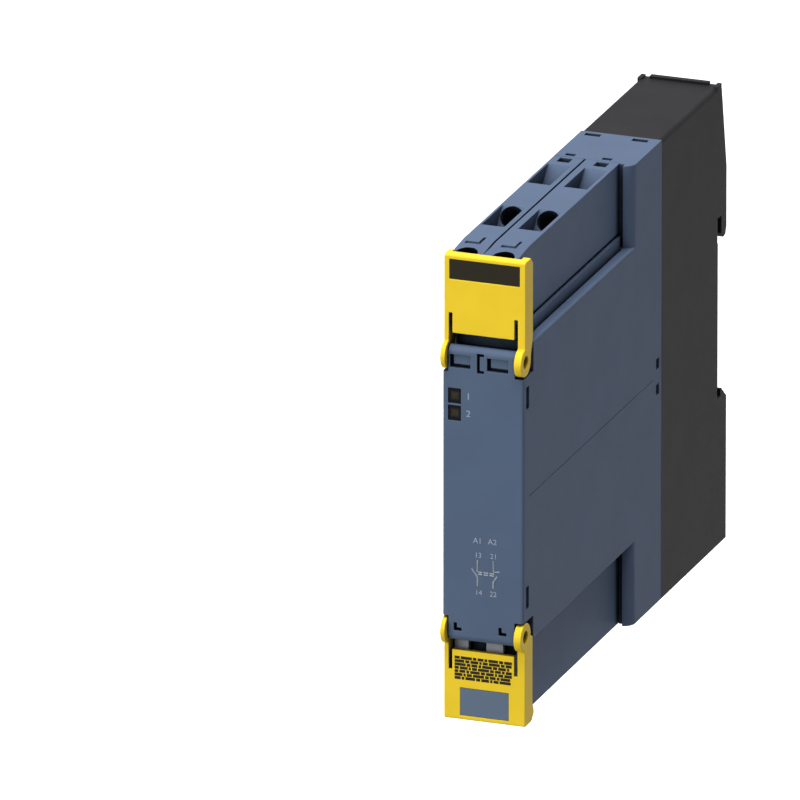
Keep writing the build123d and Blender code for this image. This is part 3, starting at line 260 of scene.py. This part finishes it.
finishes = {
    "grey_blue_housing": moulded_plastic("grey_blue_moulding", GREY_BLUE, 0.5),
    "black_housing": moulded_plastic("black_moulding", BLACK, 0.52, grain=0.01, variation=0.08),
    "yellow_cover": moulded_plastic("yellow_moulding", YELLOW, 0.36, grain=0.003, variation=0.025, edge_highlight=0.1),
    "dark_label": moulded_plastic("dark_label_film", (0.03, 0.026, 0.018), 0.4, grain=0.002),
    "grey_label": moulded_plastic("grey_label_film", (0.130, 0.180, 0.250), 0.45, grain=0.003),
    "light_tab": moulded_plastic("light_tab_moulding", (0.40, 0.42, 0.46), 0.45, reach=2.0),
    "window": smoked_window("smoked_window_1", -6.15, 20.5),
    "lamp": moulded_plastic("clear_lamp_body", (0.6, 0.66, 0.58), 0.2, grain=0.001, gloss=0.6),
    "zinc_steel": plated_metal("zinc_plated_steel", (0.66, 0.66, 0.64), 0.34),
    "spring_steel": plated_metal("spring_steel", (0.52, 0.52, 0.53), 0.3),
    "plated_strip": plated_metal("tinned_strip", (0.52, 0.48, 0.39), 0.3),
    "header_plastic": moulded_plastic("header_moulding", (0.03, 0.034, 0.032), 0.45),
    "board": solder_mask("board_lacquer"),
    "can": plated_metal("drawn_aluminium", (0.74, 0.75, 0.77), 0.26, stretch=(14, 1, 1)),
    "chip_plastic": moulded_plastic("chip_moulding", (0.016, 0.016, 0.017), 0.55),
    "disc_coating": moulded_plastic("dipped_coating", (0.04, 0.14, 0.36), 0.28, grain=0.02, grain_scale=1500),
    "relay_plastic": moulded_plastic("relay_moulding", (0.70, 0.66, 0.53), 0.4),
    "copper_wire": plated_metal("enamelled_wire", (0.78, 0.36, 0.16), 0.3, stretch=(1, 1, 1)),
    "soft_iron": plated_metal("nickelled_iron", (0.56, 0.56, 0.55), 0.32),
    "contact_metal": plated_metal("contact_alloy", (0.76, 0.70, 0.52), 0.26),
}
print_ink = moulded_plastic("pale_print", (0.42, 0.48, 0.56), 0.6, grain=0.001, edge_highlight=0.0)
second_window = smoked_window("smoked_window_2", -6.15, 16.8)


def dress_node(node, material):
    """Gives a CAD node its finish."""
    mesh = nodes[node].data
    mesh.materials.clear()
    mesh.materials.append(material)


for node_name in nodes:
    dress_node(node_name, finishes[slot_of[node_name]])
dress_node("light_guide_2", second_window)


# Mouldings, each on its CAD node's own shape

SAME_POINT = 0.002 * MM
FLAT_ANGLE = math.radians(1.0)
EDGE_ANGLE = math.radians(32)
MOULDINGS = (
    ("upper_cover", "upper_cover_moulding", 0.22),
    ("lower_cover", "lower_cover_moulding", 0.22),
    ("upper_terminal_block", "upper_block_moulding", 0.16),
    ("lower_terminal_block", "lower_block_moulding", 0.16),
    ("front_housing", "front_housing_moulding", 0.18),
    ("rear_housing", "rear_housing_moulding", 0.3),
    ("front_panel", "front_panel_moulding", 0.16),
)


def finish_piece(piece, body, material, replaced=()):
    """Puts a finished mesh piece on its body."""
    piece.data.materials.clear()
    piece.data.materials.append(material)
    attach(piece, body)
    if replaced:
        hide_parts(*replaced)


def replace_node(piece, node):
    """Puts a piece in a CAD node's place, on its body, with the finish of its slot."""
    finish_piece(piece, body_of[node], finishes[slot_of[node]], (node,))


def link_mesh(name, shape):
    """A new object from a bmesh."""
    mesh = bpy.data.meshes.new(name)
    shape.to_mesh(mesh)
    shape.free()
    piece = bpy.data.objects.new(name, mesh)
    scene.collection.objects.link(piece)
    return piece


def plain_mesh(piece):
    """The piece's mesh with its modifiers or its text worked out."""
    depsgraph = bpy.context.evaluated_depsgraph_get()
    return bpy.data.meshes.new_from_object(piece.evaluated_get(depsgraph))


def settle(piece):
    """Applies the piece's modifiers."""
    mesh = plain_mesh(piece)
    piece.modifiers.clear()
    piece.data = mesh


def rounded_moulding(node, name, width):
    """A moulded piece on a CAD node's own shape, with its edges rounded."""
    shape = bmesh.new()
    shape.from_mesh(nodes[node].data)
    bmesh.ops.remove_doubles(shape, verts=shape.verts, dist=SAME_POINT)
    bmesh.ops.dissolve_degenerate(shape, edges=shape.edges, dist=SAME_POINT)
    bmesh.ops.dissolve_limit(shape, angle_limit=FLAT_ANGLE, verts=shape.verts, edges=shape.edges)
    piece = link_mesh(name, shape)
    piece.data.shade_smooth()
    bevel = piece.modifiers.new("edges", "BEVEL")
    bevel.width = width * MM
    bevel.segments = 2
    bevel.limit_method = "ANGLE"
    bevel.angle_limit = EDGE_ANGLE
    bevel.use_clamp_overlap = True
    bevel.miter_outer = "MITER_SHARP"
    level = piece.modifiers.new("level faces", "WEIGHTED_NORMAL")
    level.mode = "FACE_AREA"
    level.weight = 100
    settle(piece)
    replace_node(piece, node)


for node_name, moulding_name, edge_width in MOULDINGS:
    rounded_moulding(node_name, moulding_name, edge_width)


# Helpers for Geometry Nodes

def node_group(name, sizes):
    """An empty tree with a named input for each size, its inputs' sockets and its end."""
    tree = bpy.data.node_groups.new(name, "GeometryNodeTree")
    tree.interface.new_socket("Geometry", in_out="INPUT", socket_type="NodeSocketGeometry")
    tree.interface.new_socket("Geometry", in_out="OUTPUT", socket_type="NodeSocketGeometry")
    for label, value in sizes.items():
        kind = "NodeSocketMaterial" if isinstance(value, bpy.types.Material) else "NodeSocketFloat"
        tree.interface.new_socket(label, in_out="INPUT", socket_type=kind)
    return tree, add_node(tree, "NodeGroupInput").outputs, add_node(tree, "NodeGroupOutput")


def moved(tree, geometry, translation, **more):
    """Geometry at another place."""
    place = add_node(tree, "GeometryNodeTransform", Geometry=geometry, Translation=translation, **more)
    return place.outputs["Geometry"]


def end_tree(tree, geometry, finish, result):
    """Ends a tree in real geometry with its material."""
    plain = add_node(tree, "GeometryNodeRealizeInstances", Geometry=geometry)
    dressed = add_node(tree, "GeometryNodeSetMaterial", Geometry=plain.outputs["Geometry"], Material=finish)
    tree.links.new(dressed.outputs["Geometry"], result.inputs["Geometry"])


def run_tree(piece, tree, sizes):
    """Gives the piece the tree's result as plain mesh."""
    modifier = piece.modifiers.new("tree", "NODES")
    modifier.node_group = tree
    for item in tree.interface.items_tree:
        if item.in_out == "INPUT" and item.name in sizes:
            modifier[item.identifier] = sizes[item.name]
    settle(piece)


# Terminal screws

HEAD_SIDES = 40
SHANK_SIDES = 24
THREAD_DEPTH = 0.45
SCREW_COUNT = 4
screw_sizes = {
    "Head Radius": 2.1 * MM,
    "Head Height": 1.8 * MM,
    "Rim": 0.25 * MM,
    "Slot Width": 0.6 * MM,
    "Slot Depth": 0.8 * MM,
    "Shank Radius": 1.25 * MM,
    "Shank Length": 6.2 * MM,
    "Thread Pitch": 0.5 * MM,
    "Finish": finishes["zinc_steel"],
}


def slotted_head(tree, size):
    """Round head with a chamfered rim and a driver slot, from its outer face down."""
    chamfer = add_node(tree, "GeometryNodeMeshCone", {"fill_type": "NGON"}, Vertices=HEAD_SIDES,
                       Radius_Top=arithmetic(tree, "SUBTRACT", size["Head Radius"], size["Rim"]),
                       Radius_Bottom=size["Head Radius"], Depth=size["Rim"])
    chamfer_height = arithmetic(tree, "MULTIPLY", size["Rim"], -1.0)
    barrel = add_node(tree, "GeometryNodeMeshCylinder", {"fill_type": "NGON"}, Vertices=HEAD_SIDES,
                      Radius=size["Head Radius"],
                      Depth=arithmetic(tree, "SUBTRACT", size["Head Height"], size["Rim"]))
    both = arithmetic(tree, "ADD", size["Head Height"], size["Rim"])
    barrel_height = arithmetic(tree, "MULTIPLY", both, -0.5)
    head = add_node(tree, "GeometryNodeMeshBoolean", {"operation": "UNION", "solver": "EXACT"})
    for part, height in ((chamfer, chamfer_height), (barrel, barrel_height)):
        tree.links.new(moved(tree, part.outputs["Mesh"], vector(tree, Z=height)), head.inputs["Mesh 2"])
    extent = vector(tree, X=arithmetic(tree, "MULTIPLY", size["Head Radius"], 3.0), Y=size["Slot Width"],
                    Z=arithmetic(tree, "MULTIPLY", size["Slot Depth"], 2.0))
    cutter = add_node(tree, "GeometryNodeMeshCube", Size=extent)
    slotted = add_node(tree, "GeometryNodeMeshBoolean", {"operation": "DIFFERENCE", "solver": "EXACT"},
                       Mesh_1=head.outputs["Mesh"], Mesh_2=cutter.outputs["Mesh"])
    return slotted.outputs["Mesh"]


def threaded_shank(tree, size):
    """The shank below the head, and one ridge for each turn of its thread."""
    pitch = size["Thread Pitch"]
    thread_depth = arithmetic(tree, "MULTIPLY", pitch, THREAD_DEPTH)
    core = arithmetic(tree, "SUBTRACT", size["Shank Radius"], thread_depth)
    shank = add_node(tree, "GeometryNodeMeshCylinder", {"fill_type": "NGON"}, Vertices=SHANK_SIDES,
                     Radius=core, Depth=size["Shank Length"])
    half = arithmetic(tree, "MULTIPLY", size["Shank Length"], -0.5)
    middle = arithmetic(tree, "SUBTRACT", half, size["Head Height"])
    placed = moved(tree, shank.outputs["Mesh"], vector(tree, Z=middle))
    flank = arithmetic(tree, "MULTIPLY", pitch, 0.5)
    ridge = add_node(tree, "GeometryNodeJoinGeometry")
    upper = add_node(tree, "GeometryNodeMeshCone", {"fill_type": "NGON"}, Vertices=SHANK_SIDES,
                     Radius_Top=core, Radius_Bottom=size["Shank Radius"], Depth=flank)
    tree.links.new(upper.outputs["Mesh"], ridge.inputs["Geometry"])
    lower = add_node(tree, "GeometryNodeMeshCone", {"fill_type": "NGON"}, Vertices=SHANK_SIDES,
                     Radius_Top=size["Shank Radius"], Radius_Bottom=core, Depth=flank)
    down = vector(tree, Z=arithmetic(tree, "MULTIPLY", pitch, -0.5))
    tree.links.new(moved(tree, lower.outputs["Mesh"], down), ridge.inputs["Geometry"])
    turns = arithmetic(tree, "DIVIDE", size["Shank Length"], pitch)
    first = arithmetic(tree, "ADD", size["Head Height"], pitch)
    line = add_node(tree, "GeometryNodeMeshLine", Count=arithmetic(tree, "SUBTRACT", turns, 1.0),
                    Start_Location=vector(tree, Z=arithmetic(tree, "MULTIPLY", first, -1.0)),
                    Offset=vector(tree, Z=arithmetic(tree, "MULTIPLY", pitch, -1.0)))
    thread = add_node(tree, "GeometryNodeInstanceOnPoints", Points=line.outputs["Mesh"],
                      Instance=ridge.outputs["Geometry"])
    return placed, thread.outputs["Instances"]


def screw_tree():
    """Slotted clamp screw that points down, with its outer face on the origin."""
    tree, size, result = node_group("clamp screw", screw_sizes)
    whole = add_node(tree, "GeometryNodeJoinGeometry")
    for part in (slotted_head(tree, size), *threaded_shank(tree, size)):
        tree.links.new(part, whole.inputs["Geometry"])
    end_tree(tree, whole.outputs["Geometry"], size["Finish"], result)
    return tree


def place_screws():
    """Puts a screw where each CAD screw stands, on the screw's own body."""
    tree = screw_tree()
    lean = math.sqrt(0.5)
    sideways = Vector((1, 0, 0))
    for side, up in (("upper", 1), ("lower", -1)):
        inward = Vector((0, lean, -lean * up))
        level = Vector((0, lean, lean * up))
        turn = Matrix((sideways, (-inward).cross(sideways), -inward)).transposed()
        for number in range(1, SCREW_COUNT + 1):
            node = f"{side}_screw_{number}"
            points = [vertex.co for vertex in nodes[node].data.vertices]
            along = [point @ inward for point in points]
            across = [point @ level for point in points]
            places = [point.x for point in points]
            outer = inward * min(along) + level * (min(across) + max(across)) / 2
            outer.x = (min(places) + max(places)) / 2
            shank_length = max(along) - min(along) - screw_sizes["Head Height"]
            screw = link_mesh(f"{side}_clamp_screw_{number}", bmesh.new())
            run_tree(screw, tree, {**screw_sizes, "Shank Length": shank_length})
            screw.data.transform(Matrix.Translation(outer) @ turn.to_4x4())
            replace_node(screw, node)


place_screws()


# Rail spring

spring_sizes = {
    "Coil Radius": 1.3 * MM,
    "Wire Radius": 0.19 * MM,
    "Turns": 6.0,
    "Low End": 26.4 * MM,
    "High End": 35.8 * MM,
    "Depth": 1.2 * MM,
    "Finish": finishes[slot_of["rail_spring"]],
}


def spring_tree():
    """Round wire wound on a helix that stands upright."""
    tree, size, result = node_group("rail spring", spring_sizes)
    helix = add_node(tree, "GeometryNodeCurveSpiral", Resolution=32, Rotations=size["Turns"],
                     Start_Radius=size["Coil Radius"], End_Radius=size["Coil Radius"],
                     Height=arithmetic(tree, "SUBTRACT", size["High End"], size["Low End"]))
    wire = add_node(tree, "GeometryNodeCurvePrimitiveCircle", Resolution=10, Radius=size["Wire Radius"])
    wound = add_node(tree, "GeometryNodeCurveToMesh", Curve=helix.outputs["Curve"],
                     Profile_Curve=wire.outputs["Curve"], Fill_Caps=True)
    smooth = add_node(tree, "GeometryNodeSetShadeSmooth", Geometry=wound.outputs["Mesh"])
    seat = vector(tree, Y=size["Depth"], Z=size["Low End"])
    end_tree(tree, moved(tree, smooth.outputs["Geometry"], seat), size["Finish"], result)
    return tree


def place_rail_spring():
    """The spring above the rail shoe, as a rigid coil at its rest length."""
    spring = link_mesh("rail_spring_wire", bmesh.new())
    run_tree(spring, spring_tree(), spring_sizes)
    replace_node(spring, "rail_spring")
    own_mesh(spring)


place_rail_spring()


# Printed marks on the panel and on the lower cover, in millimetres from the
# unit's left side and from its middle height

LEFT_SIDE = -8.75
PANEL_FRONT = -117.7 * MM
COVER_FRONT = -116.7 * MM
INK = 0.02 * MM
TEXT_SCALE = 1.35
CONTACT_STROKES = (
    ((7.6, -14.35), (7.6, -16.9)),
    ((6.3, -16.3), (7.6, -18.0), (7.6, -20.0)),
    ((11.0, -14.15), (11.0, -16.6), (12.4, -16.45)),
    ((11.9, -17.4), (11.0, -18.8), (11.0, -20.1)),
    ((7.7, -17.0), (8.6, -17.0)),
    ((8.9, -17.0), (9.9, -17.0)),
    ((10.2, -17.0), (11.2, -17.0)),
    ((7.7, -17.45), (8.6, -17.45)),
    ((8.9, -17.45), (9.9, -17.45)),
    ((10.2, -17.45), (11.2, -17.45)),
)
PANEL_NUMBERS = (
    ("1", 5.6, 20.6, 1.5),
    ("2", 5.6, 16.9, 1.5),
    ("13", 7.75, -13.35, 1.15),
    ("21", 11.1, -13.25, 1.15),
    ("14", 7.85, -21.4, 1.15),
    ("22", 11.0, -21.4, 1.15),
    ("A1", 7.6, -10.25, 1.25),
    ("A2", 10.8, -10.15, 1.25),
)
FIELD_HEIGHTS = (-41.0, -36.0)
FIELD_LEFT = 2.3
FIELD_RIGHT = 14.7
FIELD_ROWS = 7
ROW_GAP = 0.12
DASH_GAP = 0.22
DASHES = (1.3, 0.6, 2.1, 0.9, 1.7, 0.5, 1.1, 2.4, 0.8)
stroke_sizes = {"Stroke": 0.4 * MM, "Ink": INK, "Front": PANEL_FRONT, "Finish": print_ink}


def stroke_tree():
    """Flat printed strokes along drawn lines."""
    tree, size, result = node_group("printed strokes", stroke_sizes)
    line = add_node(tree, "GeometryNodeMeshToCurve", Mesh=size["Geometry"])
    nib = add_node(tree, "GeometryNodeCurvePrimitiveCircle", Resolution=8,
                   Radius=arithmetic(tree, "MULTIPLY", size["Stroke"], 0.5))
    tube = add_node(tree, "GeometryNodeCurveToMesh", Curve=line.outputs["Curve"],
                    Profile_Curve=nib.outputs["Curve"], Fill_Caps=True)
    flat = vector(tree, X=1.0, Y=arithmetic(tree, "DIVIDE", size["Ink"], size["Stroke"]), Z=1.0)
    pressed = moved(tree, tube.outputs["Mesh"], vector(tree, Y=size["Front"]), Scale=flat)
    end_tree(tree, pressed, size["Finish"], result)
    return tree


def marked_point(across, height, front=0.0):
    """A point on the unit's front, from its left side and its middle height."""
    return Vector(((across + LEFT_SIDE) * MM, front, height * MM))


def print_contacts():
    """The contact diagram of one closing and one opening contact."""
    shape = bmesh.new()
    for stroke in CONTACT_STROKES:
        corners = [shape.verts.new(marked_point(*point)) for point in stroke]
        for first, second in zip(corners, corners[1:]):
            shape.edges.new((first, second))
    piece = link_mesh("contact_diagram", shape)
    run_tree(piece, stroke_tree(), stroke_sizes)
    finish_piece(piece, "housing", print_ink)


def print_numbers():
    """Plain numbers beside the windows and the contacts."""
    shape = bmesh.new()
    upright = Matrix.Rotation(math.radians(90), 4, "X")
    for body, across, height, size in PANEL_NUMBERS:
        text = bpy.data.curves.new(f"number_{body}", "FONT")
        text.body = body
        text.size = size * MM * TEXT_SCALE
        text.align_x = "CENTER"
        text.align_y = "CENTER"
        text.extrude = INK / 2
        text.resolution_u = 3
        carrier = bpy.data.objects.new(f"number_{body}", text)
        scene.collection.objects.link(carrier)
        mesh = plain_mesh(carrier)
        mesh.transform(Matrix.Translation(marked_point(across, height, PANEL_FRONT)) @ upright)
        shape.from_mesh(mesh)
        bpy.data.objects.remove(carrier)
    finish_piece(link_mesh("panel_numbers", shape), "housing", print_ink)


def print_dash(shape, left, right, low, high):
    """One raised dash on the lower cover, closed all round."""
    corners = ((left, low), (right, low), (right, high), (left, high))
    rear = [shape.verts.new(marked_point(*corner, COVER_FRONT)) for corner in corners]
    front = [shape.verts.new(corner.co - Vector((0, INK, 0))) for corner in rear]
    shape.faces.new(front)
    shape.faces.new(rear[::-1])
    for index, after in ((0, 1), (1, 2), (2, 3), (3, 0)):
        shape.faces.new((front[after], front[index], rear[index], rear[after]))


def print_cover_field():
    """Plain rows of dark dashes on the lower cover."""
    shape = bmesh.new()
    low, high = FIELD_HEIGHTS
    row = (high - low - ROW_GAP * (FIELD_ROWS - 1)) / FIELD_ROWS
    for number in range(FIELD_ROWS):
        base = low + number * (row + ROW_GAP)
        left = FIELD_LEFT
        dash = number * 4
        while left < FIELD_RIGHT - 0.5:
            right = min(left + DASHES[dash % len(DASHES)], FIELD_RIGHT)
            print_dash(shape, left, right, base, base + row)
            left = right + DASH_GAP
            dash += 1
    finish_piece(link_mesh("cover_field", shape), "lower_cover", finishes["dark_label"])


print_contacts()
print_numbers()
print_cover_field()


# Camera

AZIMUTH = math.radians(20.08)
ELEVATION = math.radians(19.67)
PIXELS_PER_MM = 4.885
DISTANCE = 7.2
CLIP_END = 60
FRAME_PIXELS = 800
SENSOR = 36.0
UNIT_MIDDLE = Vector((0.0, -0.05535, 0.0))
MIDDLE_PIXEL = (586.8, 397.3)


def place_camera():
    """Camera at the photograph's angle, moved sideways to frame the unit."""
    level = math.cos(ELEVATION)
    away = Vector((math.sin(AZIMUTH) * level, -math.cos(AZIMUTH) * level, math.sin(ELEVATION)))
    right = Vector((math.cos(AZIMUTH), math.sin(AZIMUTH), 0.0))
    up = away.cross(right)
    aside = (MIDDLE_PIXEL[0] - FRAME_PIXELS / 2) / PIXELS_PER_MM * MM
    above = (FRAME_PIXELS / 2 - MIDDLE_PIXEL[1]) / PIXELS_PER_MM * MM
    target = UNIT_MIDDLE - right * aside - up * above
    data = bpy.data.cameras.new("camera")
    data.lens = PIXELS_PER_MM / MM * DISTANCE * SENSOR / FRAME_PIXELS
    data.sensor_width = SENSOR
    data.clip_end = CLIP_END
    camera = bpy.data.objects.new("camera", data)
    scene.collection.objects.link(camera)
    turn = Matrix((right, up, away)).transposed()
    camera.matrix_world = Matrix.Translation(target + away * DISTANCE) @ turn.to_4x4()
    scene.camera = camera


# Lamps, ambient light and floor

LAMP_AIM = Vector((0.0, -0.06, 0.0))
AMBIENT = 0.165
WHITE = (1.0, 1.0, 1.0)
FLOOR_DROP = 0.08
FLOOR_HALF = 14.0
FLOOR_BEHIND = 6.0
FLOOR_BOUNCE = (0.25, 0.25, 0.25)
FLOOR_SEEN = (0.8, 0.8, 0.8)
FLOOR_LIFT = (0.6, 0.6, 0.6, 1.0)


def add_lamp(name, place, power, size, colour=WHITE, mirrored=True):
    """A square soft light that looks at the unit. The camera doesn't see it."""
    data = bpy.data.lights.new(name, "AREA")
    data.energy = power
    data.size = size
    data.color = colour
    lamp = bpy.data.objects.new(name, data)
    scene.collection.objects.link(lamp)
    lamp.visible_camera = False
    lamp.visible_glossy = mirrored
    lamp.location = place
    lamp.rotation_euler = (LAMP_AIM - Vector(place)).to_track_quat("-Z", "Y").to_euler()


def seen_or_mirrored(tree):
    """1 for camera, glossy and transmission rays."""
    path = add_node(tree, "ShaderNodeLightPath").outputs
    either = arithmetic(tree, "MAXIMUM", path["Is Camera Ray"], path["Is Glossy Ray"])
    return arithmetic(tree, "MAXIMUM", either, path["Is Transmission Ray"])


def make_world():
    """Soft ambient light, white where it is seen or mirrored."""
    world = bpy.data.worlds.new("studio")
    scene.world = world
    world.use_nodes = True
    tree = world.node_tree
    tree.nodes.clear()
    mix = add_node(tree, "ShaderNodeMixShader", Fac=seen_or_mirrored(tree))
    for socket, strength in zip(mix.inputs[1:], (AMBIENT, 1.0)):
        light = add_node(tree, "ShaderNodeBackground", Color=(*WHITE, 1.0), Strength=strength)
        tree.links.new(light.outputs["Background"], socket)
    add_node(tree, "ShaderNodeOutputWorld", Surface=mix.outputs["Shader"])


def make_floor():
    """Pale floor, below the reach of the lower block when it is pulled."""
    shape = bmesh.new()
    bmesh.ops.create_grid(shape, x_segments=1, y_segments=1, size=FLOOR_HALF)
    floor = link_mesh("floor", shape)
    floor.data.transform(Matrix.Translation((0, FLOOR_BEHIND, cad_box[0][2] - FLOOR_DROP)))
    material = bpy.data.materials.new("pale_floor")
    material.use_nodes = True
    tree = material.node_tree
    tree.nodes.clear()
    seen = seen_or_mirrored(tree)
    matt = add_node(tree, "ShaderNodeBsdfDiffuse", Color=blend_colours(tree, seen, FLOOR_BOUNCE, FLOOR_SEEN))
    lift = add_node(tree, "ShaderNodeEmission", Color=FLOOR_LIFT, Strength=seen)
    both = add_node(tree, "ShaderNodeAddShader")
    tree.links.new(matt.outputs["BSDF"], both.inputs[0])
    tree.links.new(lift.outputs["Emission"], both.inputs[1])
    add_node(tree, "ShaderNodeOutputMaterial", Surface=both.outputs["Shader"])
    floor.data.materials.append(material)


place_camera()
make_world()
make_floor()
add_lamp("top_light", (0.05, -0.3, 1.5), 30, 1.0, (1.0, 0.95, 1.0))
add_lamp("front_light", (-0.9, -1.6, 0.55), 22, 1.4, (0.98, 1.0, 0.99))
add_lamp("side_light", (1.8, -0.5, 0.5), 0.15, 1.2, (1.0, 0.9, 0.75))
add_lamp("back_light", (-0.9, 1.6, 0.2), 7, 1.0, mirrored=False)
scene.view_settings.view_transform = "Standard"
